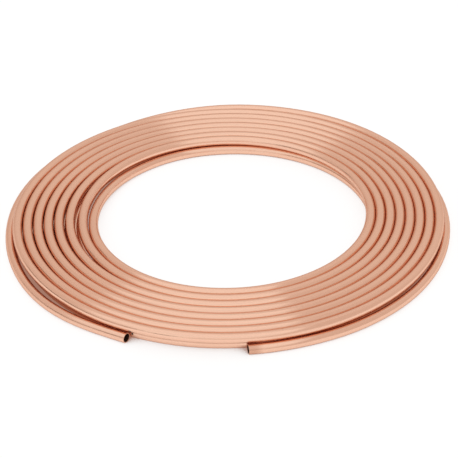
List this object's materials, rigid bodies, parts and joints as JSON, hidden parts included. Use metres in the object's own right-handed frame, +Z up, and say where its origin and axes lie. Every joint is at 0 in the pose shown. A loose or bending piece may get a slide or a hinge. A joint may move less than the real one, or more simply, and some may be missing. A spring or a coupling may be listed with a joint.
{
  "type": "copper tube coil",
  "caption": "Flat two-layer coil of soft round copper tube with an open eye, lying on its side, both sawn tube ends outside.",
  "frame": {"origin": "on the floor, under the middle of the bounding box", "axes": "+Z up through the open eye, square to the flat of the coil; +X to the right and +Y away, seen from the side of the two sawn ends"},
  "size_m": [0.6352, 0.6316, 0.0281],
  "materials": {
    "drawn_copper": "satin drawn copper, clean"
  },
  "bodies": {
    "root": {"copper_tube": "drawn_copper"}
  },
  "joints": []
}
